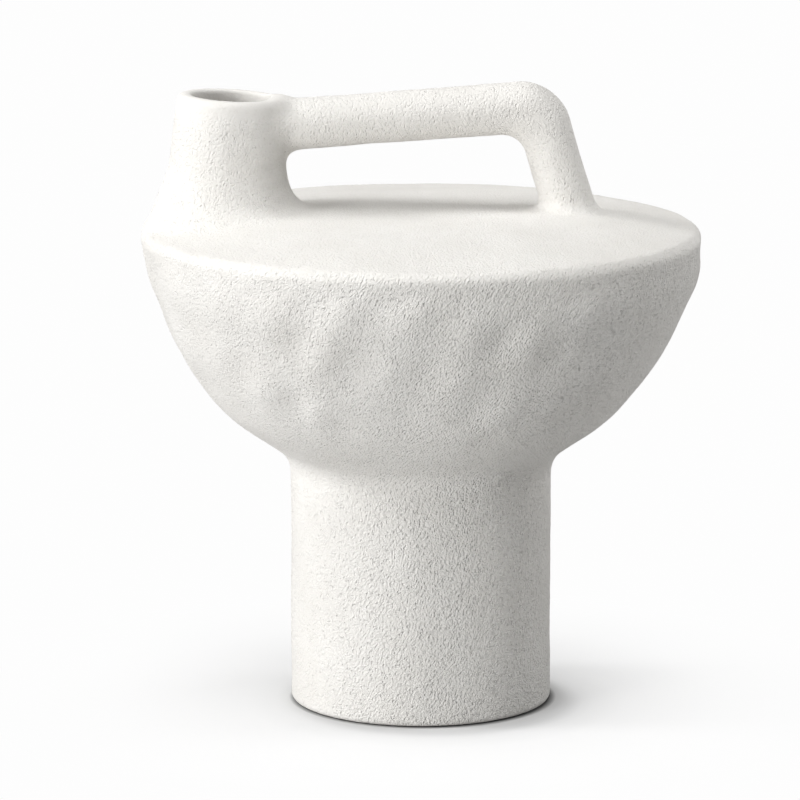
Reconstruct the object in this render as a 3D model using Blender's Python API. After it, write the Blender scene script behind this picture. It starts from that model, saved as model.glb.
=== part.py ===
"""A handled stoneware vase, as the clay parts that a potter makes and joins.

Metres, +Z up. The origin is the centre of the foot's underside. The neck is on
the -X side, and the handle runs from it towards +X in the plane Y = 0.
"""

import math
import random

import bmesh
import bpy
from mathutils import Matrix, Vector

# Foot and column
COLUMN_RADIUS = 0.0585
COLUMN_WALL = 0.0070
FLOOR_THICKNESS = 0.0080
FLOOR_PLUG_HEIGHT = 0.0050
FOOT_EDGE_RADIUS = 0.0015
FOOT_RING_WIDTH = 0.0120
FOOT_RECESS_DEPTH = 0.0030
COLUMN_TENON_HEIGHT = 0.0060

# Bowl, from its widest circle down to the waist
RIM_RADIUS = 0.1250
RIM_HEIGHT = 0.2071
BOWL_WALL = 0.0070
UPPER_ARC_RADIUS = 0.0520
UPPER_ARC_TURN = math.radians(24)
FLANK_LENGTH = 0.0153
LOWER_ARC_RADIUS = 0.1170
LOWER_ARC_TURN = math.radians(30)
WAIST_FILLET_RADIUS = 0.0125

# Dabs of the hands on the bowl's front: turn in degrees from +X, and in mm how far
# the dab lies below the widest circle and how far it stands out or goes in
FRONT_DABS = (
    (-152, 14, 0.5),
    (-141, 9, -0.5),
    (-136, 14, 0.5),
    (-129, 13, -0.55),
    (-122, 14, 0.85),
    (-113, 11, -0.95),
    (-106, 10, 0.95),
    (-99, 9, -1.1),
    (-91, 10, 1.1),
    (-84, 13, -1.1),
    (-79, 17, 1.1),
    (-72, 21, -0.85),
    (-66, 25, 0.6),
    (-60, 9, -0.4),
    (-53, 13, 0.4),
    (-38, 20, -0.5),
    (-19, 17, 0.35),
    (-160, 33, 0.5),
    (-145, 25, -0.5),
    (-140, 34, 0.5),
    (-132, 30, -0.6),
    (-117, 28, -0.85),
    (-110, 25, 0.7),
    (-113, 36, 0.7),
    (-105, 37, -0.95),
    (-97, 36, 0.95),
    (-88, 36, -0.95),
    (-82, 41, 0.85),
    (-56, 30, 0.35),
    (-38, 42, -0.5),
    (-20, 46, 0.35),
    (-156, 56, -0.5),
    (-135, 44, -0.5),
    (-130, 52, 0.7),
    (-122, 55, -0.6),
    (-116, 59, 0.6),
    (-110, 65, -0.5),
    (-101, 68, 0.35),
    (-93, 58, -0.5),
    (-77, 56, -0.55),
    (-81, 71, 0.35),
    (-69, 56, 0.5),
    (-47, 57, -0.35),
)
DAB_LENGTH = 0.0115
DAB_WIDTH = 0.0075
DAB_LEAN = math.radians(27)
DAB_FADE = 0.0100

# Rows of dabs round the bowl's back: mm below the widest circle, degrees that the
# row is shifted by, and mm of rise
BACK_ROWS = ((16, 0, 0.85), (37, -7, 0.80), (58, -15, 0.55))
BACK_START = -4
BACK_END = 192
BACK_SPACING = 15
BACK_SEED = 7

# The flatter side below the neck, and the fuller stretch above the waist
FLAT_DROP = 0.0200
FLAT_DEPTH = 0.0020
FLAT_WIDTH = 0.0700
FLAT_LENGTH = 0.0160
FULL_RISE = 0.0007
FULL_LENGTH = 0.0120

# Shoulder slab
SLAB_THICKNESS = 0.0070
SHOULDER_EDGE_RADIUS = 0.0067
SHOULDER_RISE = 0.0101
DOME_POWER = 3
LOCATING_RING_DEPTH = 0.0040
LOCATING_RING_WALL = 0.0040

# Neck, along its own leaning axis
NECK_INSET = 0.0374
NECK_X = NECK_INSET - RIM_RADIUS
NECK_LEAN = math.radians(3.4)
NECK_HEIGHT = 0.0536
MOUTH_RADIUS = 0.0181
LIP_THICKNESS = 0.0061
NECK_TAPER = math.radians(3.5)
NECK_SWEEP_RADIUS = 0.0550
NECK_SWEEP_TURN = math.radians(15)
NECK_FOOT_FILLET = 0.0120
NECK_FOOT_TURN = math.radians(45)
NECK_FOOT_TOE = 0.0008
NECK_SPIGOT_RADIUS = 0.0234
NECK_SPIGOT_WALL = 0.0038
NECK_SPIGOT_LENGTH = 0.0130

# Handle
HANDLE_RADIUS = 0.01155
BAR_DROP = 0.0149
BAR_SLOPE = math.radians(4.2)
ELBOW_INNER_BEND = 0.0227
ELBOW_OUTER_BEND = 0.0114
POST_INSET = 0.0585
POST_X = RIM_RADIUS - POST_INSET
POST_LEAN = math.radians(17)
POST_FOOT_FILLET = 0.0060
POST_FOOT_TURN = math.radians(60)
POST_FOOT_TOE = 0.0006

# Slip between two parts, and how far a cutter runs past what it cuts
SLIP_GAP = 0.0003
CUT_MARGIN = 0.0060

# Facets
BODY_SEGMENTS = 64
BOWL_SEGMENTS = 112
NECK_SEGMENTS = 40
HANDLE_SIDES = 20
CURVE_TOLERANCE = 0.0001
FLARE_STEPS = 4
DOME_RINGS = 5
BOWL_ROW_HEIGHT = 0.0062
NECK_ROW_HEIGHT = 0.0090
SHARP_ANGLE = math.radians(40)

DOWN = math.radians(-90)
UP = math.radians(90)


def clear_scene():
    for item in list(bpy.data.objects):
        bpy.data.objects.remove(item, do_unlink=True)


def clay(name, colour, roughness):
    """An unglazed clay finish for one part."""
    material = bpy.data.materials.new(name)
    material.use_nodes = True
    shader = material.node_tree.nodes["Principled BSDF"]
    shader.inputs["Base Color"].default_value = (*colour, 1.0)
    shader.inputs["Roughness"].default_value = roughness
    shader.inputs["Metallic"].default_value = 0.0
    return material


def object_from(name, mesh_data, material=None):
    """A scene object made from a bmesh, shaded smooth up to its sharp edges."""
    bmesh.ops.recalc_face_normals(mesh_data, faces=mesh_data.faces)
    mesh = bpy.data.meshes.new(name)
    mesh_data.to_mesh(mesh)
    mesh_data.free()
    mesh.shade_smooth()
    mesh.set_sharp_from_angle(angle=SHARP_ANGLE)
    if material:
        mesh.materials.append(material)
    item = bpy.data.objects.new(name, mesh)
    bpy.context.scene.collection.objects.link(item)
    return item


def as_cutter(item):
    item.hide_render = True
    item.display_type = "WIRE"
    return item


def cut(item, cutter):
    """Takes the cutter's shape out of an object."""
    modifier = item.modifiers.new(f"cut by {cutter.name}", "BOOLEAN")
    modifier.operation = "DIFFERENCE"
    modifier.solver = "EXACT"
    modifier.object = cutter


def heading(angle):
    return Vector((math.cos(angle), math.sin(angle)))


def beside(point, angle, distance):
    """The point at a distance to the right of one who walks along the angle."""
    return point + distance * heading(angle - math.pi / 2)


def arc_steps(radius, turn):
    """How many straight facets an arc needs to stay within the tolerance."""
    facet = 2 * math.acos(1 - CURVE_TOLERANCE / radius)
    return max(1, math.ceil(abs(turn) / facet))


def walk(start, angle, moves):
    """The (point, angle) pairs of an outline drawn by straight runs and arcs.

    A move is (length,) for a straight run, or (radius, turn) for an arc, where
    a positive turn goes to the left.
    """
    point = Vector(start)
    trail = [(point.copy(), angle)]
    for move in moves:
        if len(move) == 1:
            point = point + move[0] * heading(angle)
            trail.append((point.copy(), angle))
            continue
        radius, turn = move
        side = math.copysign(radius, turn)
        centre = beside(point, angle, -side)
        steps = arc_steps(radius, turn)
        for step in range(1, steps + 1):
            here = angle + turn * step / steps
            trail.append((beside(centre, here, side), here))
        angle += turn
        point = trail[-1][0]
    return trail


def offset_points(trail, distance):
    """The trail's points, each moved to the right of the way it runs."""
    return [beside(point, angle, distance) for point, angle in trail]


def revolve(name, outline, segments, material=None, shape=None, shaped=0, place=None):
    """Turns a closed (radius, height) outline about Z into one solid.

    shape(point) moves the points turned from the outline's first ones, as many
    as shaped says, and place is a matrix that sets the finished solid.
    """
    mesh_data = bmesh.new()
    rings = []
    for number, (radius, height) in enumerate(outline):
        if radius < 1e-6:
            rings.append([mesh_data.verts.new((0.0, 0.0, height))] * segments)
            continue
        ring = []
        for step in range(segments):
            turn = 2 * math.pi * step / segments
            point = Vector((radius * math.cos(turn), radius * math.sin(turn), height))
            ring.append(mesh_data.verts.new(shape(point) if number < shaped else point))
        rings.append(ring)
    for lower, upper in zip(rings, rings[1:] + rings[:1]):
        for step in range(segments):
            ahead = (step + 1) % segments
            corners = [lower[step], lower[ahead], upper[ahead], upper[step]]
            corners = list(dict.fromkeys(corners))
            if len(corners) > 2:
                mesh_data.faces.new(corners)
    if place:
        bmesh.ops.transform(mesh_data, matrix=place, verts=mesh_data.verts)
    return object_from(name, mesh_data, material)


def sweep(name, stations, sides, material):
    """A bar along (point, across, radius) stations in the plane Y = 0.

    A station's ring reaches as far as the vector across in the plane, and as far
    as the radius to either side of it.
    """
    mesh_data = bmesh.new()
    rings = []
    for point, across, radius in stations:
        ring = []
        for step in range(sides):
            turn = 2 * math.pi * step / sides
            aside = math.cos(turn) * across
            corner = (point.x + aside.x, radius * math.sin(turn), point.y + aside.y)
            ring.append(mesh_data.verts.new(corner))
        rings.append(ring)
    for near, far in zip(rings, rings[1:]):
        for step in range(sides):
            ahead = (step + 1) % sides
            mesh_data.faces.new((near[step], near[ahead], far[ahead], far[step]))
    mesh_data.faces.new(rings[0])
    mesh_data.faces.new(rings[-1])
    return object_from(name, mesh_data, material)


def bowl_trail():
    """The bowl's outer outline, from the widest circle down to the column."""
    side = walk(
        (RIM_RADIUS, RIM_HEIGHT),
        DOWN,
        [
            (UPPER_ARC_RADIUS, -UPPER_ARC_TURN),
            (FLANK_LENGTH,),
            (LOWER_ARC_RADIUS, -LOWER_ARC_TURN),
        ],
    )
    point, angle = side[-1]
    waist_turn = angle - DOWN
    fillet_width = WAIST_FILLET_RADIUS * (1 - math.cos(waist_turn))
    to_fillet = (point.x - COLUMN_RADIUS - fillet_width) / -math.cos(angle)
    waist = walk(point, angle, [(to_fillet,), (WAIST_FILLET_RADIUS, -waist_turn)])
    return side + waist[1:]


def waist_height():
    return bowl_trail()[-1][0].y


def socket_top():
    """Height of the end of the socket that takes the column's tenon."""
    return waist_height() + COLUMN_TENON_HEIGHT + SLIP_GAP


def bowl_inner():
    """The bowl's inner outline, from its rim down to above the socket."""
    lowest = socket_top() + BOWL_WALL / 2
    return [point for point in offset_points(bowl_trail()[::2], BOWL_WALL) if point.y > lowest]


def dome_height(radius):
    """Height of the shoulder's upper face above the floor, at a radius."""
    edge = RIM_RADIUS - SHOULDER_EDGE_RADIUS
    top = RIM_HEIGHT + SHOULDER_EDGE_RADIUS + SHOULDER_RISE
    return top - SHOULDER_RISE * (radius / edge) ** DOME_POWER


def dome_slope(radius):
    """How steeply the shoulder's upper face falls outwards, at a radius."""
    edge = RIM_RADIUS - SHOULDER_EDGE_RADIUS
    return -DOME_POWER * SHOULDER_RISE * radius ** (DOME_POWER - 1) / edge**DOME_POWER


def dome_outline(growth):
    """The shoulder's upper outline from its centre out to the widest circle."""
    edge = RIM_RADIUS - SHOULDER_EDGE_RADIUS
    radii = [edge * ring / DOME_RINGS for ring in range(DOME_RINGS)]
    points = [Vector((radius, dome_height(radius) + growth)) for radius in radii]
    slope = math.atan(dome_slope(edge))
    start = beside(Vector((edge, RIM_HEIGHT)), slope, -(SHOULDER_EDGE_RADIUS + growth))
    rounding = walk(start, slope, [(SHOULDER_EDGE_RADIUS + growth, DOWN - slope)])
    return points + [point for point, _ in rounding]


def neck_axis():
    """The neck's own frame: Z runs up its axis from the shoulder's face."""
    foot = Vector((NECK_X, 0.0, dome_height(abs(NECK_X))))
    return Matrix.Translation(foot) @ Matrix.Rotation(NECK_LEAN, 4, "Y")


def neck_trail():
    """The neck's outer outline from below the lip's rounding to its foot."""
    start = Vector((MOUTH_RADIUS + LIP_THICKNESS, NECK_HEIGHT - LIP_THICKNESS / 2))
    angle = DOWN + NECK_TAPER
    flare = [(NECK_SWEEP_RADIUS, NECK_SWEEP_TURN), (NECK_FOOT_FILLET, NECK_FOOT_TURN)]
    flare_height = -walk((0.0, 0.0), angle, flare)[-1][0].y
    taper_length = (start.y - flare_height - NECK_FOOT_TOE) / math.cos(NECK_TAPER)
    return walk(start, angle, [(taper_length,)] + flare)


def settled(point):
    """A point of the neck's outer face, moved so that its foot lies on the dome.

    The point is in the neck's own frame. The flare moves whole, and the part
    above it less and less up to the flare's height above itself.
    """
    flare_top = NECK_SWEEP_RADIUS * math.sin(NECK_SWEEP_TURN + NECK_TAPER)
    share = min(1.0, max(0.0, 2 - point.z / flare_top))
    level = neck_axis() @ Vector((point.x, point.y, 0.0))
    rise = dome_height(math.hypot(level.x, level.y)) - level.z
    return point + Vector((0.0, 0.0, share * rise))


def lip_points():
    """The lip's round top, from the bore over to the outer side."""
    lip_radius = LIP_THICKNESS / 2
    middle = MOUTH_RADIUS + lip_radius
    inside = (middle - lip_radius, NECK_HEIGHT - lip_radius)
    rounding = walk(inside, UP, [(lip_radius, -math.pi)])
    return [point for point, _ in rounding]


def bar_line():
    """A point on the bar's centre line, on the neck's axis, and its angle."""
    crossing = neck_axis() @ Vector((0.0, 0.0, NECK_HEIGHT - BAR_DROP))
    return Vector((crossing.x, crossing.z)), BAR_SLOPE


def post_line():
    """The post's foot on the shoulder's face, and its angle upwards."""
    return Vector((POST_X, dome_height(POST_X))), UP + POST_LEAN


def meeting(first, first_angle, second, second_angle):
    """Where two lines in one plane cross."""
    along = heading(first_angle)
    other = heading(second_angle)
    between = second - first
    distance = between.cross(other) / along.cross(other)
    return first + distance * along


def elbow_stations(corner, angle, turn):
    """Stations round the elbow, whose inner and outer sides bend on their own radii."""
    inward = heading(angle + turn / 2 - math.pi / 2) / math.cos(turn / 2)
    inner_centre = corner + ELBOW_INNER_BEND * inward
    outer_centre = corner + ELBOW_OUTER_BEND * inward
    steps = arc_steps(ELBOW_OUTER_BEND + HANDLE_RADIUS, turn)
    stations = []
    for step in range(steps + 1):
        outward = heading(angle + turn * step / steps + math.pi / 2)
        inner = inner_centre + (ELBOW_INNER_BEND - HANDLE_RADIUS) * outward
        outer = outer_centre + (ELBOW_OUTER_BEND + HANDLE_RADIUS) * outward
        stations.append(((inner + outer) / 2, (outer - inner) / 2, HANDLE_RADIUS))
    return stations


def handle_stations():
    """The handle's stations, from the neck's axis down into the shoulder."""
    start, bar_angle = bar_line()
    foot, post_angle = post_line()
    corner = meeting(start, bar_angle, foot, post_angle)
    down = post_angle - math.pi
    across = HANDLE_RADIUS * heading(bar_angle + math.pi / 2)
    stations = [(start, across, HANDLE_RADIUS)]
    stations += elbow_stations(corner, bar_angle, down - bar_angle)
    tilt = down + math.pi / 2 - math.atan(dome_slope(POST_X))
    slanted = heading(down + math.pi / 2) + math.tan(tilt) * heading(down)
    lead = POST_FOOT_FILLET * math.sin(POST_FOOT_TURN) + POST_FOOT_TOE
    for step in range(FLARE_STEPS + 1):
        bend = POST_FOOT_TURN * step / FLARE_STEPS
        along = POST_FOOT_FILLET * math.sin(bend) - lead
        wide = HANDLE_RADIUS + POST_FOOT_FILLET * (1 - math.cos(bend))
        stations.append((foot + along * heading(down), wide * slanted, wide))
    root = foot + (CUT_MARGIN + HANDLE_RADIUS) * heading(down)
    stations.append((root, wide * slanted, wide))
    return stations


def all_dabs():
    """(turn, height, rise) of each dab on the bowl, in radians and metres."""
    chance = random.Random(BACK_SEED)
    dabs = list(FRONT_DABS)
    for drop, shift, rise in BACK_ROWS:
        for turn in range(BACK_START, BACK_END, BACK_SPACING):
            for half, sign in ((0.0, 1), (0.5, -1)):
                place = turn + shift + half * BACK_SPACING + chance.uniform(-2, 2)
                level = drop + chance.uniform(-6, 6)
                dabs.append((place, level, sign * rise * chance.uniform(0.5, 1.3)))
    return [
        (math.radians(turn), RIM_HEIGHT - drop / 1000, rise / 1000) for turn, drop, rise in dabs
    ]


def radius_at(points, height):
    """The radius of an outline that runs down, at a height."""
    for upper, lower in zip(points, points[1:]):
        if lower.y <= height <= upper.y:
            share = (upper.y - height) / (upper.y - lower.y)
            return upper.x + share * (lower.x - upper.x)
    return points[-1].x


def bump(first, second):
    """A smooth mound that is 1 at its middle and gone two units away."""
    return math.exp(-(first**2) - second**2)


def pressed(point, dabs):
    """A point of the bowl's outer face, moved as the hands' dabs moved the clay."""
    radius = math.hypot(point.x, point.y)
    turn = math.atan2(point.y, point.x)
    rise = 0.0
    for dab_turn, dab_height, dab_rise in dabs:
        around = radius * math.remainder(turn - dab_turn, 2 * math.pi)
        up = point.z - dab_height
        along = up * math.cos(DAB_LEAN) + around * math.sin(DAB_LEAN)
        across = around * math.cos(DAB_LEAN) - up * math.sin(DAB_LEAN)
        rise += dab_rise * bump(along / DAB_LENGTH, across / DAB_WIDTH)
    from_neck = radius * math.remainder(turn - math.pi, 2 * math.pi)
    from_flat = point.z - (RIM_HEIGHT - FLAT_DROP)
    rise -= FLAT_DEPTH * bump(from_neck / FLAT_WIDTH, from_flat / FLAT_LENGTH)
    low = waist_height() + WAIST_FILLET_RADIUS
    rise += FULL_RISE * bump((point.z - low - FULL_LENGTH) / FULL_LENGTH, 0.0)
    room = min(RIM_HEIGHT - point.z, point.z - low) / DAB_FADE
    scale = 1 + rise * min(1.0, max(0.0, room)) / radius
    return Vector((point.x * scale, point.y * scale, point.z))


def even_rows(points, spacing):
    """The outline with its long steps split, so that a shape can move them."""
    rows = points[:1]
    for start, end in zip(points, points[1:]):
        steps = max(1, round((end - start).length / spacing))
        rows += [start.lerp(end, step / steps) for step in range(1, steps + 1)]
    return rows


def make_foot_base(material):
    """The floor with its foot ring, and the plug that centres the column."""
    ring_inner = COLUMN_RADIUS - FOOT_RING_WIDTH
    plug_radius = COLUMN_RADIUS - COLUMN_WALL - SLIP_GAP
    edge = walk((COLUMN_RADIUS - FOOT_EDGE_RADIUS, 0.0), 0.0, [(FOOT_EDGE_RADIUS, UP)])
    outline = [
        Vector((0.0, FOOT_RECESS_DEPTH)),
        Vector((ring_inner - FOOT_RECESS_DEPTH, FOOT_RECESS_DEPTH)),
        Vector((ring_inner, 0.0)),
    ]
    outline += [point for point, _ in edge]
    outline += [
        Vector((COLUMN_RADIUS, FLOOR_THICKNESS)),
        Vector((plug_radius, FLOOR_THICKNESS)),
        Vector((plug_radius, FLOOR_THICKNESS + FLOOR_PLUG_HEIGHT)),
        Vector((0.0, FLOOR_THICKNESS + FLOOR_PLUG_HEIGHT)),
    ]
    return revolve("foot_base", outline, BODY_SEGMENTS, material)


def make_foot_column(material):
    """The hollow column, with a tenon at its top for the bowl."""
    inner = COLUMN_RADIUS - COLUMN_WALL
    tenon = COLUMN_RADIUS - COLUMN_WALL / 2
    top = waist_height()
    outline = [
        Vector((COLUMN_RADIUS, FLOOR_THICKNESS)),
        Vector((COLUMN_RADIUS, top)),
        Vector((tenon, top)),
        Vector((tenon, top + COLUMN_TENON_HEIGHT)),
        Vector((inner, top + COLUMN_TENON_HEIGHT)),
        Vector((inner, FLOOR_THICKNESS)),
    ]
    return revolve("foot_column", outline, BODY_SEGMENTS, material)


def make_bowl(material):
    """The hand-pressed bowl: an open shell with a socket for the column's tenon."""
    outer = even_rows([point for point, _ in bowl_trail()], BOWL_ROW_HEIGHT)
    socket_radius = COLUMN_RADIUS - COLUMN_WALL / 2 + SLIP_GAP
    outline = outer + [
        Vector((socket_radius, waist_height())),
        Vector((socket_radius, socket_top())),
        Vector((COLUMN_RADIUS - COLUMN_WALL, socket_top())),
    ]
    outline += bowl_inner()[::-1]
    dabs = all_dabs()

    def shape(point):
        return pressed(point, dabs)

    return revolve("bowl", outline, BOWL_SEGMENTS, material, shape, len(outer))


def make_round_cutter(name, radius):
    """A round cutter on the neck's axis, right through the shoulder."""
    reach = NECK_SPIGOT_LENGTH + SLAB_THICKNESS + CUT_MARGIN
    outline = [
        Vector((0.0, -reach)),
        Vector((radius, -reach)),
        Vector((radius, reach)),
        Vector((0.0, reach)),
    ]
    return as_cutter(revolve(name, outline, NECK_SEGMENTS, place=neck_axis()))


def make_shoulder(material):
    """The domed slab, seated on the bowl's rim by a ring below."""
    ring_bottom = RIM_HEIGHT - LOCATING_RING_DEPTH
    seat = radius_at(bowl_inner(), ring_bottom) - SLIP_GAP
    ring_inner = seat - LOCATING_RING_WALL
    outline = dome_outline(0.0)
    outline += [
        Vector((seat, RIM_HEIGHT)),
        Vector((seat, ring_bottom)),
        Vector((ring_inner, ring_bottom)),
    ]
    for ring in range(DOME_RINGS, -1, -1):
        radius = ring_inner * ring / DOME_RINGS
        outline.append(Vector((radius, dome_height(radius) - SLAB_THICKNESS)))
    shoulder = revolve("shoulder", outline, BODY_SEGMENTS, material)
    cut(shoulder, make_round_cutter("neck_hole_cutter", NECK_SPIGOT_RADIUS + SLIP_GAP))
    return shoulder


def make_shoulder_clearance(name):
    """The shoulder's form grown by the slip gap, to cut what stands on it."""
    below = RIM_HEIGHT - NECK_SPIGOT_LENGTH - SLAB_THICKNESS - 2 * HANDLE_RADIUS
    outline = dome_outline(SLIP_GAP)
    outline += [Vector((RIM_RADIUS + SLIP_GAP, below)), Vector((0.0, below))]
    return as_cutter(revolve(name, outline, BODY_SEGMENTS))


def make_neck(material):
    """The neck with its lip, its bore and the spigot below its flared foot."""
    outer = [point for point, _ in neck_trail()]
    bore = NECK_SPIGOT_RADIUS - NECK_SPIGOT_WALL
    outline = lip_points() + even_rows(outer, NECK_ROW_HEIGHT)[1:]
    face_rows = len(outline)
    outline += [Vector((outer[-1].x, -NECK_SPIGOT_LENGTH)), Vector((bore, -NECK_SPIGOT_LENGTH))]
    neck = revolve("neck", outline, NECK_SEGMENTS, material, settled, face_rows, neck_axis())
    seat = make_shoulder_clearance("neck_seat_cutter")
    cut(seat, make_round_cutter("spigot_keeper", NECK_SPIGOT_RADIUS))
    cut(neck, seat)
    return neck


def make_neck_body_clearance():
    """The neck's outer form grown by the slip gap, to cut the handle's end."""
    trail = neck_trail()
    grown = offset_points(trail, -SLIP_GAP)
    lip_radius = LIP_THICKNESS / 2
    lip = walk(
        (MOUTH_RADIUS + lip_radius, NECK_HEIGHT + SLIP_GAP),
        0.0,
        [(lip_radius + SLIP_GAP, DOWN)],
    )
    outline = [Vector((0.0, NECK_HEIGHT + SLIP_GAP))] + [point for point, _ in lip] + grown[1:]
    outline += [Vector((grown[-1].x, -NECK_HEIGHT)), Vector((0.0, -NECK_HEIGHT))]
    return as_cutter(revolve("neck_body_cutter", outline, NECK_SEGMENTS, place=neck_axis()))


def make_handle(material):
    """The bar, elbow and post, saddled on the neck and on the shoulder."""
    handle = sweep("handle", handle_stations(), HANDLE_SIDES, material)
    cut(handle, make_neck_body_clearance())
    cut(handle, make_shoulder_clearance("post_seat_cutter"))
    return handle


def main():
    clear_scene()
    make_foot_base(clay("foot_clay", (0.72, 0.70, 0.67), 0.85))
    make_foot_column(clay("column_clay", (0.80, 0.79, 0.77), 0.80))
    make_bowl(clay("bowl_clay", (0.80, 0.79, 0.77), 0.82))
    make_shoulder(clay("shoulder_clay", (0.82, 0.81, 0.79), 0.80))
    make_neck(clay("neck_clay", (0.81, 0.80, 0.78), 0.78))
    make_handle(clay("handle_clay", (0.81, 0.80, 0.78), 0.78))


main()
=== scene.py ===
"""The handled stoneware vase as it comes out of the kiln.

Metres, +Z up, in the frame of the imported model: the origin is the centre of the
foot's underside, the neck is on the -X side and the handle lies in the plane
Y = 0. The slip joints between the clay parts are smoothed over, so one skin of
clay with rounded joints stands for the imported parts.
"""

import itertools
import math
import random

import bpy
import numpy as np
from mathutils import Matrix, Vector


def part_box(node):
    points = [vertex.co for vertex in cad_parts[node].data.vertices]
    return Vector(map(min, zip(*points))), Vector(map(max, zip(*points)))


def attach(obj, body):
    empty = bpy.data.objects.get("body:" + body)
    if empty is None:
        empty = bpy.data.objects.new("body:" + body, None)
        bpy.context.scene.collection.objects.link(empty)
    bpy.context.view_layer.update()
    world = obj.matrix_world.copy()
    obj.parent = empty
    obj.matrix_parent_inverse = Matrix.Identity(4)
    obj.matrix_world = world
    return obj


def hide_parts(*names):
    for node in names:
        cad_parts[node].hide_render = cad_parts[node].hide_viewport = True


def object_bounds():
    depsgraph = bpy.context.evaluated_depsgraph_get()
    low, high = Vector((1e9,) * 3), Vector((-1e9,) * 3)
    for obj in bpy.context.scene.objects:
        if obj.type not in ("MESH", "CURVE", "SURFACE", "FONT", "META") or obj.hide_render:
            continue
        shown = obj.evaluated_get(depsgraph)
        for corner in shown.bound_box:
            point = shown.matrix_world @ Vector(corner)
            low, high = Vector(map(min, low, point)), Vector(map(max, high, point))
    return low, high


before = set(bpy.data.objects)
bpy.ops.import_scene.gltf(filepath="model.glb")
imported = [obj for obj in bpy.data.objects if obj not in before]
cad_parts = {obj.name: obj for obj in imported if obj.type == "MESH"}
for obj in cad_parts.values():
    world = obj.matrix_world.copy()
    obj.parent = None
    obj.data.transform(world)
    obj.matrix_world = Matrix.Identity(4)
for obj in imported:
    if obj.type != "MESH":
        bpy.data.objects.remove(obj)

CAD_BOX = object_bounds()

MILLIMETRE = 0.001
DOWN = math.radians(-90)
UP = math.radians(90)

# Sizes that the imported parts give
COLUMN_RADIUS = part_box("foot_column")[1].x
WAIST_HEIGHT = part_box("bowl")[0].z
RIM_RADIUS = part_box("bowl")[1].x
RIM_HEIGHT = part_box("bowl")[1].z
DOME_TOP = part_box("shoulder")[1].z

# Foot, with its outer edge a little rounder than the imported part's
FLOOR_TOP = 0.0130
FOOT_EDGE_RADIUS = 0.0024
FOOT_RING_WIDTH = 0.0120
FOOT_RECESS_DEPTH = 0.0030

# Bowl and shoulder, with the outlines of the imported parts, apart from two places: the
# smoothed edge between the two is tighter and lies a little higher than their joint,
# and the fillet at the waist is larger
WALL = 0.0070
EDGE_RISE = 0.0030
EDGE_HEIGHT = RIM_HEIGHT + EDGE_RISE
EDGE_LEAN = math.radians(5)
EDGE_RUN = 0.0086
UPPER_ARC_RADIUS = 0.0520
UPPER_ARC_TURN = math.radians(24)
FLANK_LENGTH = 0.0153
LOWER_ARC_RADIUS = 0.1170
LOWER_ARC_TURN = math.radians(30)
WAIST_FILLET_RADIUS = 0.0148
SHOULDER_EDGE_RADIUS = 0.0049
DOME_POWER = 3
DOME_EDGE = RIM_RADIUS - SHOULDER_EDGE_RADIUS
DOME_RISE = DOME_TOP - EDGE_HEIGHT - SHOULDER_EDGE_RADIUS
DOME_STEPS = 60
ROOF_STEPS = 40

# Neck, along its own leaning axis; mouth and lip are a fraction of a millimetre off
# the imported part's
NECK_INSET = 0.0374
NECK_X = NECK_INSET - RIM_RADIUS
NECK_LEAN = math.radians(3.4)
NECK_HEIGHT = 0.0538
MOUTH_RADIUS = 0.0178
LIP_THICKNESS = 0.0064
NECK_TAPER = math.radians(3.5)
NECK_SWEEP_START = 0.0280
NECK_SWEEP_RADIUS = 0.0550
NECK_SWEEP_TURN = math.radians(15)
NECK_ROOT = 0.0070
BORE_TAPER = 0.023
BORE_ROOT = 0.0160

# Handle
HANDLE_RADIUS = 0.01155
BAR_DROP = 0.0149
BAR_SLOPE = math.radians(4.2)
ELBOW_INNER_BEND = 0.0227
ELBOW_OUTER_BEND = 0.0114
POST_INSET = 0.0585
POST_X = RIM_RADIUS - POST_INSET
POST_LEAN = math.radians(17)
POST_ROOT = 0.0100

# How far each rounded joint reaches from its corner
NECK_JOINT = 0.0120
NECK_JOINT_AT_RIM = 0.0060
NECK_JOINT_GROWTH = 0.0300
HANDLE_JOINT = 0.0075
BORE_JOINT = 0.0040
LIP_ROUNDING = 0.0014

# Mesh: the finest grid's pitch, halvings from the coarse grid, and how near a cell's
# middle lies to the surface that it may hold, as a share of the cell
PITCH = 0.0010
COARSE_STEPS = 5
NEAR_SHARE = 1.2
RELAX_STEPS = 4

# Outlines and tables of distance that the shape is worked out from
OUTLINE_STEP = 0.0005
TABLE_PITCH = 0.0005
TABLE_MARGIN = 0.0200
SLOPE_STEP = 0.00005
LEAST_STEEPNESS = 0.25


def heading(angle):
    """The unit vector at an angle from the first axis."""
    return np.array([math.cos(angle), math.sin(angle)])


def walk(start, angle, moves):
    """Points of an outline drawn by straight runs (length,) and arcs (radius, turn)."""
    trail = [np.array(start, float)]
    for move in moves:
        if len(move) == 1:
            trail.append(trail[-1] + move[0] * heading(angle))
            continue
        radius, turn = move
        side = math.copysign(radius, turn)
        centre = trail[-1] + side * heading(angle + math.pi / 2)
        steps = max(2, math.ceil(radius * abs(turn) / OUTLINE_STEP))
        for here in np.linspace(angle, angle + turn, steps + 1)[1:]:
            trail.append(centre - side * heading(here + math.pi / 2))
        angle += turn
    return np.array(trail)


def offset(trail, distance):
    """The trail moved to the right of the way it runs."""
    run = np.gradient(trail, axis=0)
    run /= np.linalg.norm(run, axis=1, keepdims=True)
    return trail + distance * np.stack([run[:, 1], -run[:, 0]], axis=1)


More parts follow.
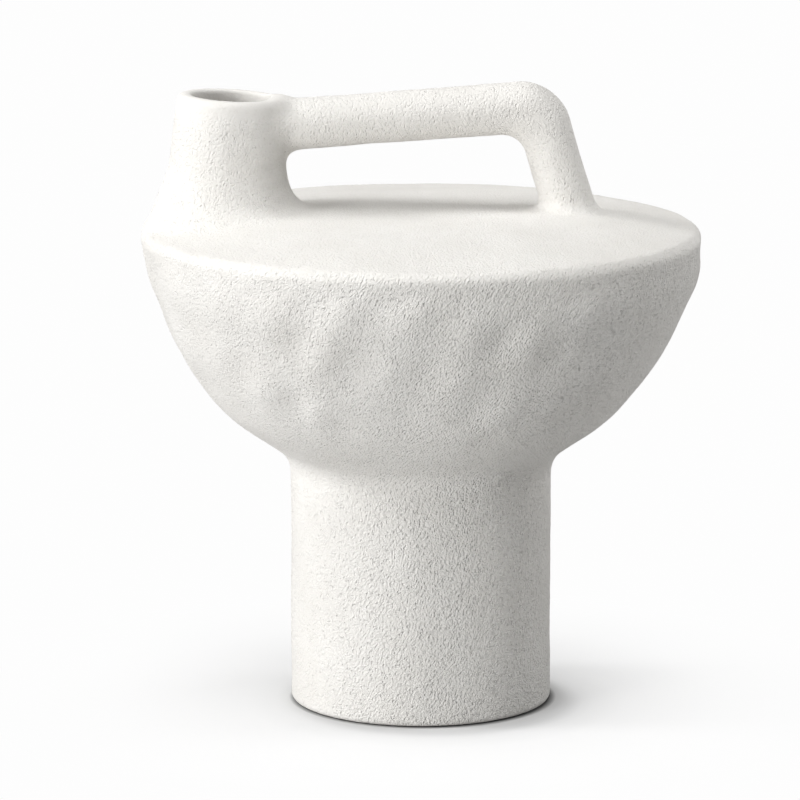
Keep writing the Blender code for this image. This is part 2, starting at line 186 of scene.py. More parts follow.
def bowl_trail():
    """The bowl's outer outline from its widest circle down to the column."""
    side = walk(
        (RIM_RADIUS, EDGE_HEIGHT),
        DOWN - EDGE_LEAN,
        [
            (EDGE_RUN,),
            (UPPER_ARC_RADIUS, EDGE_LEAN - UPPER_ARC_TURN),
            (FLANK_LENGTH,),
            (LOWER_ARC_RADIUS, -LOWER_ARC_TURN),
        ],
    )
    angle = DOWN - UPPER_ARC_TURN - LOWER_ARC_TURN
    waist_turn = angle - DOWN
    fillet_width = WAIST_FILLET_RADIUS * (1 - math.cos(waist_turn))
    to_fillet = (side[-1][0] - COLUMN_RADIUS - fillet_width) / -math.cos(angle)
    waist = walk(side[-1], angle, [(to_fillet,), (WAIST_FILLET_RADIUS, -waist_turn)])
    return np.concatenate([side, waist[1:]])


def dome_height(radius):
    """Height of the shoulder's upper face at a radius."""
    return DOME_TOP - DOME_RISE * (radius / DOME_EDGE) ** DOME_POWER


def dome_points():
    """The shoulder's upper outline from the widest circle in to the axis."""
    turn = UP - math.atan(DOME_POWER * DOME_RISE / DOME_EDGE) + EDGE_LEAN
    start = (RIM_RADIUS, EDGE_HEIGHT)
    rounding = walk(start, UP - EDGE_LEAN, [(SHOULDER_EDGE_RADIUS, turn)])
    end_radius, end_height = rounding[-1]
    radii = np.linspace(end_radius, 0.0, DOME_STEPS)[1:]
    shift = end_height - dome_height(end_radius)
    heights = dome_height(radii) + shift * radii / end_radius
    return np.concatenate([rounding, np.stack([radii, heights], axis=1)])


def outer_outline():
    """The turned body's outer outline, from the axis below to the axis above."""
    ring_inner = COLUMN_RADIUS - FOOT_RING_WIDTH
    foot = np.array(
        [
            (0.0, FOOT_RECESS_DEPTH),
            (ring_inner - FOOT_RECESS_DEPTH, FOOT_RECESS_DEPTH),
            (ring_inner, 0.0),
        ]
    )
    edge = walk((COLUMN_RADIUS - FOOT_EDGE_RADIUS, 0.0), 0.0, [(FOOT_EDGE_RADIUS, UP)])
    return np.concatenate([foot, edge, bowl_trail()[::-1], dome_points()[1:]])


def inner_outline():
    """The hollow's outline, from its floor up to the underside of the shoulder."""
    inner_radius = COLUMN_RADIUS - WALL
    floor = np.array([(0.0, FLOOR_TOP), (inner_radius, FLOOR_TOP)])
    bowl = offset(bowl_trail(), WALL)[::-1]
    radii = np.linspace(bowl[-1][0], 0.0, ROOF_STEPS)[1:]
    roof = np.stack([radii, dome_height(radii) - WALL], axis=1)
    return np.concatenate([floor, bowl, roof])


def neck_outline():
    """The neck's outer outline about its own axis, from its flat top to its root."""
    lip_radius = LIP_THICKNESS / 2
    lip = walk((MOUTH_RADIUS + lip_radius, NECK_HEIGHT), 0.0, [(lip_radius, DOWN)])
    angle = DOWN + NECK_TAPER
    taper = (lip[-1][1] - NECK_SWEEP_START) / math.cos(NECK_TAPER)
    side = walk(lip[-1], angle, [(taper,), (NECK_SWEEP_RADIUS, NECK_SWEEP_TURN)])
    steep = angle + NECK_SWEEP_TURN
    rest = (side[-1][1] + NECK_ROOT) / -math.sin(steep)
    foot = side[-1] + rest * heading(steep)
    return np.concatenate([[(0.0, NECK_HEIGHT)], lip, side[1:], [foot, (0.0, -NECK_ROOT)]])


def turned(outline):
    """The signed distance to the solid turned from an outline, as a function."""
    low = outline.min(axis=0) - TABLE_MARGIN
    counts = np.ceil((np.ptp(outline, axis=0) + 2 * TABLE_MARGIN) / TABLE_PITCH).astype(int)
    radii = low[0] + TABLE_PITCH * np.arange(counts[0])[:, None]
    heights = low[1] + TABLE_PITCH * np.arange(counts[1])[None, :]
    nearest = np.full(counts, np.inf)
    inside = np.zeros(counts, bool)
    for start, end in zip(outline, outline[1:]):
        run = end - start
        along = ((radii - start[0]) * run[0] + (heights - start[1]) * run[1]) / (run @ run)
        along = np.clip(along, 0.0, 1.0)
        gap = np.hypot(radii - start[0] - along * run[0], heights - start[1] - along * run[1])
        nearest = np.minimum(nearest, gap)
        if run[1]:
            crossing = start[0] + (heights - start[1]) * run[0] / run[1]
            inside ^= ((start[1] > heights) != (end[1] > heights)) & (radii < crossing)
    table = np.where(inside, -nearest, nearest)

    def distance(radius, height):
        across = np.clip((radius - low[0]) / TABLE_PITCH, 0, counts[0] - 1.001)
        up = np.clip((height - low[1]) / TABLE_PITCH, 0, counts[1] - 1.001)
        i, j = across.astype(int), up.astype(int)
        a, b = across - i, up - j
        lower = (1 - a) * table[i, j] + a * table[i + 1, j]
        upper = (1 - a) * table[i, j + 1] + a * table[i + 1, j + 1]
        return (1 - b) * lower + b * upper

    return distance


def joined(first, second, reach):
    """Two distances joined with a rounded corner."""
    overlap = np.maximum(reach - np.abs(first - second), 0.0) / reach
    return np.minimum(first, second) - overlap**2 * reach / 4


def eased(value):
    """A smooth step from 0 to 1."""
    value = np.clip(value, 0.0, 1.0)
    return value * value * (3 - 2 * value)


def faded(values, span):
    """A smooth step from 0 at the span's start to 1 at its end."""
    return eased((values - span[0]) / (span[1] - span[0]))


def segment_gap(x, z, start, end):
    """Distance to a straight run in the plane of the handle."""
    run = end - start
    along = np.clip(((x - start[0]) * run[0] + (z - start[1]) * run[1]) / (run @ run), 0, 1)
    return np.hypot(x - start[0] - along * run[0], z - start[1] - along * run[1])


def bore_distance(radius, height):
    """The signed distance to the neck's bore, negative inside it."""
    side = radius - MOUTH_RADIUS - BORE_TAPER * (NECK_HEIGHT - height)
    return np.maximum(side, -height - BORE_ROOT)


class Vase:
    """The fired vase as a signed distance, negative inside the clay."""

    def __init__(self):
        self.body = turned(outer_outline())
        self.hollow = turned(inner_outline())
        self.neck = turned(neck_outline())
        foot = Vector((NECK_X, 0.0, dome_height(abs(NECK_X))))
        self.neck_axis = Matrix.Translation(foot) @ Matrix.Rotation(NECK_LEAN, 4, "Y")
        self.to_neck = np.array(self.neck_axis.inverted())
        self.lay_handle()

    def lay_handle(self):
        """The handle's centre line in the plane Y = 0, a bar and a post with a corner."""
        start = self.neck_axis @ Vector((0.0, 0.0, NECK_HEIGHT - BAR_DROP))
        self.bar_start = np.array([start.x, start.z])
        self.bar = heading(BAR_SLOPE)
        self.post = heading(UP + POST_LEAN)
        foot = np.array([POST_X, dome_height(POST_X)])
        between = foot - self.bar_start
        reach = np.cross(between, self.post) / np.cross(self.bar, self.post)
        self.corner = self.bar_start + reach * self.bar
        self.post_end = foot - POST_ROOT * self.post

    def bent_rod(self, x, y, z, bend):
        """Distance to a round rod along the bar and the post, with its corner bent."""
        run = bend * math.tan((UP - POST_LEAN + BAR_SLOPE) / 2)
        bar_end = self.corner - run * self.bar
        post_top = self.corner - run * self.post
        centre = bar_end + bend * heading(BAR_SLOPE - UP)
        gap = np.minimum(
            segment_gap(x, z, self.bar_start, bar_end),
            segment_gap(x, z, self.post_end, post_top),
        )
        from_centre = np.stack([x - centre[0], z - centre[1]])
        first = bar_end - centre
        last = post_top - centre
        after = first[0] * from_centre[1] - first[1] * from_centre[0] <= 0
        before = last[0] * from_centre[1] - last[1] * from_centre[0] >= 0
        arc = np.abs(np.hypot(*from_centre) - bend)
        gap = np.where(after & before, np.minimum(gap, arc), gap)
        return np.hypot(gap, y) - HANDLE_RADIUS

    def handle(self, x, y, z):
        """The bar and post: the elbow is thicker, because its two sides bend apart."""
        inner = self.bent_rod(x, y, z, ELBOW_INNER_BEND)
        return np.minimum(inner, self.bent_rod(x, y, z, ELBOW_OUTER_BEND))

    def in_neck(self, points):
        """(radius, height) about the neck's own axis."""
        local = points @ self.to_neck[:3, :3].T + self.to_neck[:3, 3]
        return np.hypot(local[:, 0], local[:, 1]), local[:, 2]

    def __call__(self, points):
        x, y, z = points.T
        radius = np.hypot(x, y)
        neck_radius, neck_height = self.in_neck(points)
        inboard = eased((x + RIM_RADIUS) / NECK_JOINT_GROWTH)
        reach = NECK_JOINT_AT_RIM + inboard * (NECK_JOINT - NECK_JOINT_AT_RIM)
        clay = joined(self.body(radius, z), self.neck(neck_radius, neck_height), reach)
        clay = joined(clay, self.handle(x, y, z), HANDLE_JOINT)
        bore = bore_distance(neck_radius, neck_height)
        hollow = joined(self.hollow(radius, z), bore, BORE_JOINT)
        return -joined(-clay, hollow, LIP_ROUNDING)

    def slope(self, points):
        """The distance and its gradient at points."""
        steps = SLOPE_STEP * np.eye(3)
        gradient = [(self(points + step) - self(points - step)) for step in steps]
        return self(points), np.stack(gradient, axis=1) / (2 * SLOPE_STEP)

    def pulled(self, points, times=2):
        """The points moved onto the clay's surface."""
        for _ in range(times):
            distance, gradient = self.slope(points)
            steep = (gradient**2).sum(axis=1)
            share = distance / np.maximum(steep, LEAST_STEEPNESS)
            points = points - share[:, None] * gradient
        return points


CORNERS = np.array(list(itertools.product((0, 1), repeat=3)))
STEPS = np.eye(3, dtype=int)
KEY_BITS = 20


def surface_cells(vase, low, high):
    """Cells of the finest grid that lie near the clay's surface, as whole numbers."""
    size = PITCH * 2**COARSE_STEPS
    counts = np.ceil((high - low) / size).astype(int)
    cells = np.stack(np.meshgrid(*map(np.arange, counts), indexing="ij"), axis=-1)
    cells = cells.reshape(-1, 3)
    for step in range(COARSE_STEPS + 1):
        near = np.abs(vase(low + (cells + 0.5) * size)) < NEAR_SHARE * size
        cells = cells[near]
        if step < COARSE_STEPS:
            cells = (2 * cells[:, None, :] + CORNERS[None]).reshape(-1, 3)
            size /= 2
    return cells


def key_of(cells):
    """One whole number for each cell."""
    return (cells[..., 0] << 2 * KEY_BITS) + (cells[..., 1] << KEY_BITS) + cells[..., 2]


def cells_of(keys):
    """The cells that the whole numbers stand for."""
    limit = (1 << KEY_BITS) - 1
    return np.stack([keys >> 2 * KEY_BITS, (keys >> KEY_BITS) & limit, keys & limit], axis=1)


def corner_values(vase, low, cells):
    """The distance at each cell's eight corners."""
    keys, places = np.unique(key_of(cells[:, None, :] + CORNERS[None]), return_inverse=True)
    return vase(low + cells_of(keys) * PITCH)[places].reshape(len(cells), 8)


def net_points(low, cells, values):
    """One point in each cell, the mean of where the surface cuts its edges."""
    total = np.zeros((len(cells), 3))
    count = np.zeros(len(cells))
    for one, other in itertools.combinations(range(8), 2):
        if abs(CORNERS[one] - CORNERS[other]).sum() != 1:
            continue
        a, b = values[:, one], values[:, other]
        cut = (a < 0) != (b < 0)
        share = a[cut] / (a[cut] - b[cut])
        total[cut] += CORNERS[one] + share[:, None] * (CORNERS[other] - CORNERS[one])
        count[cut] += 1
    return low + (cells + total / count[:, None]) * PITCH


def net_faces(cells, values):
    """A four-sided face round each edge of the grid that the surface cuts."""
    keys = key_of(cells)
    faces = []
    for axis in range(3):
        far = int(np.flatnonzero((CORNERS == STEPS[axis]).all(axis=1))[0])
        cut = (values[:, 0] < 0) != (values[:, far] < 0)
        here = cells[cut]
        second, third = STEPS[(axis + 1) % 3], STEPS[(axis + 2) % 3]
        ring = [here, here - second, here - second - third, here - third]
        corners = np.stack([np.searchsorted(keys, key_of(cell)) for cell in ring], axis=1)
        inward = values[cut, 0] >= 0
        corners[inward] = corners[inward][:, ::-1]
        faces.append(corners)
    return np.concatenate(faces)


def surface_net(vase):
    """The vase's surface as points and four-sided faces."""
    margin = 2 * PITCH
    low = np.array(CAD_BOX[0]) - margin
    high = np.array(CAD_BOX[1]) + margin
    cells = surface_cells(vase, low, high)
    values = corner_values(vase, low, cells)
    mixed = (values < 0).any(axis=1) & (values >= 0).any(axis=1)
    cells, values = cells[mixed], values[mixed]
    order = np.argsort(key_of(cells))
    cells, values = cells[order], values[order]
    return net_points(low, cells, values), net_faces(cells, values)


def neighbour_mean(points, faces):
    """The mean of the points that share an edge with each point."""
    ends = np.concatenate([faces, np.roll(faces, -1, axis=1)]).ravel()
    others = np.concatenate([np.roll(faces, -1, axis=1), faces]).ravel()
    count = np.bincount(ends, minlength=len(points))
    sums = [np.bincount(ends, points[others, axis], len(points)) for axis in range(3)]
    return np.stack(sums, axis=1) / count[:, None]


# Dabs of the hands on the bowl's front: turn in degrees from +X, and in mm how far
# the dab lies below the widest circle and how far it stands out or goes in
FRONT_DABS = (
    (-152, 14, 0.50),
    (-141, 9, -0.50),
    (-136, 14, 0.50),
    (-129, 13, -0.55),
    (-122, 14, 0.65),
    (-113, 11, -0.70),
    (-106, 10, 0.70),
    (-99, 9, -0.80),
    (-91, 10, 0.80),
    (-84, 13, -0.80),
    (-81, 22, 1.00),
    (-73, 23, -1.45),
    (-67, 27, 1.00),
    (-60, 9, -0.40),
    (-53, 13, 0.40),
    (-38, 20, -0.50),
    (-19, 17, 0.35),
    (-160, 33, 0.65),
    (-145, 25, -0.65),
    (-140, 34, 0.65),
    (-132, 30, -0.50),
    (-117, 28, -0.80),
    (-110, 25, 0.90),
    (-113, 36, 0.90),
    (-105, 37, -1.25),
    (-97, 36, 1.25),
    (-88, 36, -1.25),
    (-82, 41, 1.30),
    (-60, 31, -0.50),
    (-38, 42, -0.80),
    (-20, 46, 0.55),
    (-156, 56, -0.95),
    (-135, 44, -0.80),
    (-130, 52, 1.40),
    (-122, 55, -1.20),
    (-116, 59, 1.20),
    (-110, 65, -0.95),
    (-101, 68, 0.65),
    (-93, 58, -0.95),
    (-77, 56, -1.10),
    (-81, 71, 0.65),
    (-69, 56, 0.95),
    (-47, 57, -0.65),
)
DAB_LENGTH = 0.0110
DAB_WIDTH = 0.0080
DAB_LEAN = math.radians(27)

# Rows of dabs round the bowl's back: mm below the widest circle, degrees that the
# row is shifted by, and mm of rise; and by how much each dab may stray from its row
BACK_ROWS = ((16, 0, 0.85), (37, -7, 0.80), (58, -15, 0.55))
BACK_START = -4
BACK_END = 192
BACK_SPACING = 15
BACK_SEED = 7
BACK_TURN_STRAY = 2
BACK_DROP_STRAY = 6
BACK_RISE_SHARE = (0.5, 1.3)
DAB_FADE_TOP = (0.2000, 0.2085)
DAB_FADE_FOOT = (0.1150, 0.1350)

# The flatter side of the bowl below the neck, and its fuller foot
FLAT_DROP = 0.0200
FLAT_DEPTH = 0.0020
FLAT_TURN = math.radians(32)
FLAT_LENGTH = 0.0160
FULL_RISE = 0.0007
FULL_LENGTH = 0.0120

# Unevenness of the hand-built clay and its coarser grain: (size, depth) of each layer,
# the first noise seed of the grain, and the twist that makes the grain lean
UNEVEN_LAYERS = ((0.0480, 0.00070), (0.0210, 0.00032), (0.0090, 0.00016))
GRAIN_LAYERS = ((0.0046, 0.00008), (0.0024, 0.00009))
GRAIN_SEED = 11
GRAIN_STRETCH = 0.75
TWIST = 3.5

# Where the unevenness fades in, from start to end: heights above the floor, distances
# from the hollow, and heights towards the lip, which keeps this share of the grain
FOOT_FADE = (0.0010, 0.0100)
SKIN_FADE = (0.0015, 0.0055)
LIP_CALM = (0.2620, 0.2720)
CALM_GRAIN = 0.25

# How much coarser the body's skin is than at its front: degrees from the front
# towards the handle, degrees of spread, and gain; the dome is calmer than the body,
# and so is all that stands on it
COARSE_SIDES = ((-62, 25, -0.40), (42, 34, 0.40))
DOME_START = (0.2080, 0.2140)
DOME_END = (0.2240, 0.2340)
DOME_CALM = 0.40
NECK_CALM = 0.42
BAR_START = (-0.0660, -0.0540)
BAR_LOWEST = (0.2260, 0.2340)


def lattice_noise(points, seed):
    """Smooth noise of about -0.6 to 0.6, with features one unit across."""
    cell = np.floor(points).astype(np.int64)
    part = points - cell
    smooth = part**3 * (part * (part * 6 - 15) + 10)
    total = np.zeros(len(points))
    for corner in CORNERS:
        spot = cell + corner
        mixed = spot @ np.array([73856093, 19349663, 83492791]) + seed * 668265263
        mixed = (mixed ^ (mixed >> 13)) * 1274126177
        mixed = mixed ^ (mixed >> 16)
        lean = np.stack([(mixed >> shift & 1023) / 511.5 - 1 for shift in (0, 10, 20)], axis=1)
        weight = np.prod(np.where(corner, smooth, 1 - smooth), axis=1)
        total += weight * ((part - corner) * lean).sum(axis=1)
    return total


def twisted(points):
    """The points turned with their height, so that what is upright there leans here."""
    x, y, z = points.T
    angle = -TWIST * z
    turned_x = x * np.cos(angle) - y * np.sin(angle)
    turned_y = x * np.sin(angle) + y * np.cos(angle)
    return np.stack([turned_x, turned_y, z * GRAIN_STRETCH], axis=1)


def back_dabs():
    """Dabs in the front's style over the rest of the bowl, out and in by turns."""
    chance = random.Random(BACK_SEED)
    dabs = []
    for drop, shift, rise in BACK_ROWS:
        for turn in range(BACK_START, BACK_END, BACK_SPACING):
            for half, sign in ((0.0, 1), (0.5, -1)):
                place = turn + shift + half * BACK_SPACING
                place += chance.uniform(-BACK_TURN_STRAY, BACK_TURN_STRAY)
                level = drop + chance.uniform(-BACK_DROP_STRAY, BACK_DROP_STRAY)
                dabs.append((place, level, sign * rise * chance.uniform(*BACK_RISE_SHARE)))
    return dabs


def dab_shape(points, trail, around, place):
    """1 at a dab's middle and 0 away from it: a smooth mound that leans to its right."""
    radius = np.interp(place, trail[:, 1], trail[:, 0])
    above = np.interp(place + DAB_WIDTH, trail[:, 1], trail[:, 0])
    outward = np.array([math.cos(around), math.sin(around), 0.0])
    level = np.array([-math.sin(around), math.cos(around), 0.0])
    slant = (above - radius) * outward + np.array([0.0, 0.0, DAB_WIDTH])
    slant /= np.linalg.norm(slant)
    away = points - radius * outward - np.array([0.0, 0.0, place])
    along = away @ (math.cos(DAB_LEAN) * slant + math.sin(DAB_LEAN) * level)
    across = away @ (math.cos(DAB_LEAN) * level - math.sin(DAB_LEAN) * slant)
    return np.exp(-((along / DAB_LENGTH) ** 2) - (across / DAB_WIDTH) ** 2)


def pressed(points):
    """How far the bowl's dabs, flat side and full foot move each point."""
    x, y, z = points.T
    trail = bowl_trail()[::-1]
    rise = np.zeros(len(points))
    for turn, drop, height in (*FRONT_DABS, *back_dabs()):
        around = math.radians(turn)
        place = RIM_HEIGHT - drop * MILLIMETRE
        near = x * math.cos(around) + y * math.sin(around) > 0.5 * RIM_RADIUS
        near &= np.abs(z - place) < 3 * DAB_LENGTH
        rise[near] += height * MILLIMETRE * dab_shape(points[near], trail, around, place)
    rise *= 1 - faded(z, DAB_FADE_TOP)
    rise *= faded(z, DAB_FADE_FOOT)
    across = np.arctan2(y, -x) / FLAT_TURN
    up = (z - RIM_HEIGHT + FLAT_DROP) / FLAT_LENGTH
    rise -= FLAT_DEPTH * np.exp(-(across**2) - up**2)
    up = (z - WAIST_HEIGHT - WAIST_FILLET_RADIUS - FULL_LENGTH) / FULL_LENGTH
    return rise + FULL_RISE * np.exp(-(up**2))


def hand_built(vase, points):
    """The points moved as hands, tools and grit move clay, and how grainy each is."""
    _, gradient = vase.slope(points)
    normals = gradient / np.linalg.norm(gradient, axis=1, keepdims=True)
    x, y, z = points.T
    radius = np.hypot(x, y)
    bore = bore_distance(*vase.in_neck(points))
    outside = faded(np.minimum(vase.hollow(radius, z), bore), SKIN_FADE)
    above_floor = faded(z, FOOT_FADE)
    on_handle = faded(x, BAR_START) * faded(z, BAR_LOWEST)
    calm = faded(z, LIP_CALM) * (1 - on_handle)
    grain = CALM_GRAIN + (1 - CALM_GRAIN) * outside * (1 - calm)
    above_rim = faded(z, DOME_START)
    turn = np.degrees(np.arctan2(x, -y))
    for middle, spread, gain in COARSE_SIDES:
        grain *= 1 + gain * (1 - above_rim) * np.exp(-(((turn - middle) / spread) ** 2))
    above_dome = faded(z, DOME_END)
    grain *= 1 - DOME_CALM * above_rim * (1 - above_dome)
    grain *= 1 - NECK_CALM * above_dome
    rise = outside * pressed(points)
    for seed, (size, depth) in enumerate(UNEVEN_LAYERS):
        rise += outside * depth * lattice_noise(points / size, seed)
    leaning = twisted(points)
    for seed, (size, depth) in enumerate(GRAIN_LAYERS):
        if size > 2 * PITCH:
            rise += grain * depth * lattice_noise(leaning / size, GRAIN_SEED + seed)
    return points + (above_floor * rise)[:, None] * normals, grain


def make_skin(vase):
    points, faces = surface_net(vase)
    points = vase.pulled(points)
    for _ in range(RELAX_STEPS):
        points = vase.pulled(0.5 * points + 0.5 * neighbour_mean(points, faces), 1)
    points, grain = hand_built(vase, points)
    mesh = bpy.data.meshes.new("vase_skin")
    mesh.from_pydata(points, [], faces)
    mesh.shade_smooth()
    mesh.attributes.new("grain", "FLOAT", "POINT").data.foreach_set("value", grain)
    skin = bpy.data.objects.new("vase_skin", mesh)
    bpy.context.scene.collection.objects.link(skin)
    return skin


# Clay: light and dark of the fired body, and its patches and specks, with how many
# there are to the metre and which part of their noise goes from dark to light
CLAY_LIGHT = (0.815, 0.800, 0.772, 1.0)
CLAY_DARK = (0.770, 0.752, 0.720, 1.0)
PATCH_DENSITY = 26.0
PATCH_RANGE = (0.35, 0.65)
SPECK_DENSITY = 900.0
SPECK_RANGE = (0.28, 0.40)
CLAY_ROUGHNESS = 0.88
CLAY_GLOSS = 0.3

# Fine relief: how many wrinkles, pits and grains of sand to the metre, depths in mm,
# and the distances from a pit's middle at which it starts and ends to rise
WRINKLE_DENSITY = 920.0
WRINKLE_DEPTH = 0.85
PIT_DENSITY = 700.0
PIT_DEPTH = 0.46
PIT_RANGE = (0.05, 0.42)
SAND_DENSITY = 1350.0
SAND_DEPTH = 0.60


def add_node(tree, kind, inputs=(), **settings):
    """A shader node with its settings, and its inputs by name or number."""
    made = tree.nodes.new("ShaderNode" + kind)
    for name, value in settings.items():
        setattr(made, name, value)
    for name, value in dict(inputs).items():
        socket = made.inputs[name]
        if isinstance(value, bpy.types.NodeSocket):
            tree.links.new(value, socket)
        else:
            socket.default_value = value
    return made


def calculated(tree, operation, *values):
    """The outcome of one sum on numbers or sockets."""
    made = add_node(tree, "Math", enumerate(values), operation=operation)
    return made.outputs[0]


def stretched(tree, value, span, **settings):
    """The value's span spread over 0 to 1."""
    inputs = {"Value": value, "From Min": span[0], "From Max": span[1]}
    return add_node(tree, "MapRange", inputs, **settings).outputs[0]


def leaning_place(tree, place):
    """The place twisted with its height, as `twisted` does for the mesh."""
    height = add_node(tree, "SeparateXYZ", {"Vector": place}).outputs["Z"]
    angle = calculated(tree, "MULTIPLY", height, -TWIST)
    turned_place = add_node(
        tree, "VectorRotate", {"Vector": place, "Angle": angle}, rotation_type="Z_AXIS"
    )
    inputs = {0: turned_place.outputs["Vector"], 1: (1.0, 1.0, GRAIN_STRETCH)}
    return add_node(tree, "VectorMath", inputs, operation="MULTIPLY").outputs["Vector"]


def clay_relief(tree, place):
    """Height in mm of the wrinkles, pits and sand in the clay's skin."""
    leaning = leaning_place(tree, place)
    inputs = {"Vector": leaning, "Scale": WRINKLE_DENSITY, "Detail": 2.0, "Distortion": 0.1}
    wrinkles = add_node(tree, "TexNoise", inputs).outputs[0]
    inputs = {"Vector": leaning, "Scale": PIT_DENSITY, "Randomness": 1.0}
    pits = add_node(tree, "TexVoronoi", inputs).outputs["Distance"]
    pits = stretched(tree, pits, PIT_RANGE, interpolation_type="SMOOTHSTEP")
    inputs = {"Vector": place, "Scale": SAND_DENSITY, "Detail": 1.0}
    sand = add_node(tree, "TexNoise", inputs).outputs[0]
    wrinkles = calculated(tree, "MULTIPLY", wrinkles, WRINKLE_DEPTH)
    pits = calculated(tree, "MULTIPLY", pits, PIT_DEPTH)
    sand = calculated(tree, "MULTIPLY", sand, SAND_DEPTH)
    return calculated(tree, "ADD", calculated(tree, "ADD", wrinkles, pits), sand)


def fired_clay():
    """Unglazed off-white stoneware, slightly uneven in tone, pitted and sandy."""
    material = bpy.data.materials.new("fired_clay")
    material.use_nodes = True
    tree = material.node_tree
    shader = tree.nodes["Principled BSDF"]
    place = add_node(tree, "TexCoord").outputs["Object"]
    amount = add_node(tree, "Attribute", attribute_name="grain").outputs["Fac"]
    inputs = {"Vector": place, "Scale": PATCH_DENSITY, "Detail": 5.0, "Roughness": 0.6}
    patches = add_node(tree, "TexNoise", inputs).outputs[0]
    inputs = {"Vector": place, "Scale": SPECK_DENSITY, "Detail": 0.0}
    specks = add_node(tree, "TexNoise", inputs).outputs[0]
    patches = stretched(tree, patches, PATCH_RANGE)
    specks = stretched(tree, specks, SPECK_RANGE)
    share = calculated(tree, "MULTIPLY", patches, specks)
    inputs = {0: share, 6: CLAY_DARK, 7: CLAY_LIGHT}
    colour = add_node(tree, "Mix", inputs, data_type="RGBA").outputs[2]
    tree.links.new(colour, shader.inputs["Base Color"])
    relief = calculated(tree, "MULTIPLY", clay_relief(tree, place), amount)
    bump = add_node(tree, "Bump", {"Height": relief, "Distance": MILLIMETRE})
    tree.links.new(bump.outputs["Normal"], shader.inputs["Normal"])
    shader.inputs["Roughness"].default_value = CLAY_ROUGHNESS
    shader.inputs["Specular IOR Level"].default_value = CLAY_GLOSS
    return material


# Camera, measured on the photograph's foot, rim and mouth
CAMERA_PLACE = Vector((-0.0094, -2.4223, 0.6129))
CAMERA_PITCH = math.radians(11.13)
CAMERA_LENS = 247.5
SENSOR_WIDTH = 36.0


def make_camera():
    data = bpy.data.cameras.new("camera")
    data.lens = CAMERA_LENS
    data.sensor_width = SENSOR_WIDTH
    camera = bpy.data.objects.new("camera", data)
    camera.location = CAMERA_PLACE
    camera.rotation_euler = (UP - CAMERA_PITCH, 0.0, 0.0)
    bpy.context.scene.collection.objects.link(camera)
    bpy.context.scene.camera = camera


# Lamps far away: azimuth, elevation and width in degrees, and strength; azimuth 0 is
# the camera's side
LAMPS = (
    (313, 8, 18, 1.88),
    (270, 31, 14, 1.47),
    (105, 33, 26, 0.90),
    (0, 60, 24, 0.60),
    (0, 84, 30, 1.03),
)
AMBIENT_STRENGTH = 0.12
AMBIENT_COLOUR = (1.0, 0.990, 0.965, 1.0)


def camera_sees(tree):
    """1 for rays from the camera, of gloss and through glass, else 0."""
    path = add_node(tree, "LightPath").outputs
    seen = calculated(tree, "MAXIMUM", path["Is Camera Ray"], path["Is Glossy Ray"])
    return calculated(tree, "MAXIMUM", seen, path["Is Transmission Ray"])


def make_lamps():
    for number, (azimuth, elevation, width, strength) in enumerate(LAMPS):
        data = bpy.data.lights.new(f"lamp_{number}", "SUN")
        data.angle = math.radians(width)
        data.energy = strength
        to_front, to_right = heading(math.radians(azimuth))
        across, up = heading(math.radians(elevation))
        towards = Vector((to_right * across, -to_front * across, up))
        lamp = bpy.data.objects.new(f"lamp_{number}", data)
        lamp.rotation_euler = towards.to_track_quat("Z", "Y").to_euler()
        bpy.context.scene.collection.objects.link(lamp)


def make_world():
    world = bpy.data.worlds.new("world")
    world.use_nodes = True
    tree = world.node_tree
    ambient = tree.nodes["Background"]
    ambient.inputs["Color"].default_value = AMBIENT_COLOUR
    ambient.inputs["Strength"].default_value = AMBIENT_STRENGTH
    white = add_node(tree, "Background", {"Color": (1.0, 1.0, 1.0, 1.0), "Strength": 1.0})
    inputs = {0: camera_sees(tree), 1: ambient.outputs[0], 2: white.outputs[0]}
    mixed = add_node(tree, "MixShader", inputs)
    tree.links.new(mixed.outputs[0], tree.nodes["World Output"].inputs["Surface"])
    bpy.context.scene.world = world


# Floor: it lies just below the foot's flat face, so that the two don't show through
# each other; how white it is to the camera with no shadow, how much of that gives way
# to the lamps' light where the shadow shows, and how much light it throws back
FLOOR_SIZE = 14.0
FLOOR_GAP = 0.0002
FLOOR_WHITE = 0.985
FLOOR_LIGHT = 1.08
FLOOR_BOUNCE = 0.55

# How much of the shadow the floor shows: metres from the foot's middle, and share
FOOT_MIDDLE = (0.0, 0.0, 0.0)
SHADOW_SHARES = (
    (0.0555, 1.00),
    (0.0575, 0.80),
    (0.0610, 0.55),
    (0.0660, 0.42),
    (0.0750, 0.38),
    (0.0900, 0.32),
    (0.1100, 0.22),
    (0.1400, 0.10),
    (0.2000, 0.00),
)

# The painted shade of the crease at the foot's edge: the share of the floor's glow and colour
# that is left there
CREASE_MIDDLE = (0.0008, -0.0003, 0.0)
CREASE_LIGHT = ((0.0570, 0.15), (0.0605, 1.00))

# The soft shade painted into the floor's white close to the foot, about a middle that lies
# towards the front right
CONTACT_MIDDLE = (0.006, -0.009, 0.0)
CONTACT_SHADES = (
    (0.0560, 0.27),
    (0.0600, 0.23),
    (0.0640, 0.14),
    (0.0670, 0.08),
    (0.0720, 0.04),
    (0.0850, 0.00),
)


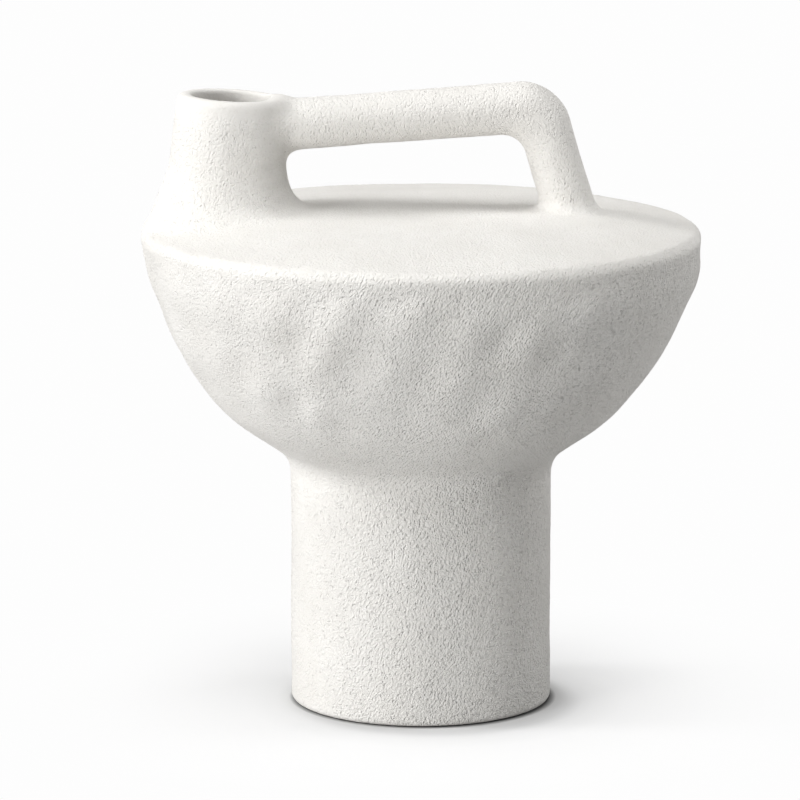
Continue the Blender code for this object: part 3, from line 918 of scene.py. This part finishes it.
def ringed(tree, middle, stops):
    """A value round a middle on the floor, as the stops (distance, value) say."""
    place = add_node(tree, "TexCoord").outputs["Object"]
    away = add_node(tree, "VectorMath", {0: place, 1: middle}, operation="DISTANCE")
    farthest = stops[-1][0]
    share = calculated(tree, "DIVIDE", away.outputs["Value"], farthest)
    ramp = add_node(tree, "ValToRGB", {0: share})
    elements = ramp.color_ramp.elements
    while len(elements) < len(stops):
        elements.new(0.5)
    for element, (reach, level) in zip(elements, stops):
        element.position = reach / farthest
        element.color = (level, level, level, 1.0)
    return ramp.outputs[0]


def floor_material():
    """White to the eye, with the shadow kept near the foot, a painted shade close to the foot
    and a painted dark crease at its edge; pale grey to other rays.
    """
    material = bpy.data.materials.new("floor")
    material.use_nodes = True
    tree = material.node_tree
    tree.nodes.remove(tree.nodes["Principled BSDF"])
    share = ringed(tree, FOOT_MIDDLE, SHADOW_SHARES)
    # painted shade near the foot, and a painted dark line at the foot's edge that darkens both
    # the glow and the floor's colour
    shade = ringed(tree, CONTACT_MIDDLE, CONTACT_SHADES)
    crease = ringed(tree, CREASE_MIDDLE, CREASE_LIGHT)
    white = calculated(tree, "SUBTRACT", FLOOR_WHITE, shade)
    glow = calculated(tree, "MULTIPLY_ADD", share, -FLOOR_LIGHT, white)
    glow = calculated(tree, "MULTIPLY", calculated(tree, "MAXIMUM", glow, 0.0), crease)
    glowing = add_node(tree, "Emission", {"Strength": glow})
    seen = add_node(tree, "BsdfDiffuse", {"Color": calculated(tree, "MULTIPLY", share, crease)})
    both = add_node(tree, "AddShader", {0: glowing.outputs[0], 1: seen.outputs[0]})
    grey = (FLOOR_BOUNCE, FLOOR_BOUNCE, FLOOR_BOUNCE, 1.0)
    plain = add_node(tree, "BsdfDiffuse", {"Color": grey})
    inputs = {0: camera_sees(tree), 1: plain.outputs[0], 2: both.outputs[0]}
    mixed = add_node(tree, "MixShader", inputs)
    tree.links.new(mixed.outputs[0], tree.nodes["Material Output"].inputs["Surface"])
    return material


def make_floor():
    half = FLOOR_SIZE / 2
    mesh = bpy.data.meshes.new("floor")
    square = ((-half, -half), (half, -half), (half, half), (-half, half))
    mesh.from_pydata([(x, y, -FLOOR_GAP) for x, y in square], [], [(0, 1, 2, 3)])
    floor = bpy.data.objects.new("floor", mesh)
    bpy.context.scene.collection.objects.link(floor)
    mesh.materials.append(floor_material())


bpy.context.scene.view_settings.view_transform = "Standard"
make_camera()
make_lamps()
make_world()
make_floor()
skin = make_skin(Vase())
skin.data.materials.append(fired_clay())
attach(skin, "root")
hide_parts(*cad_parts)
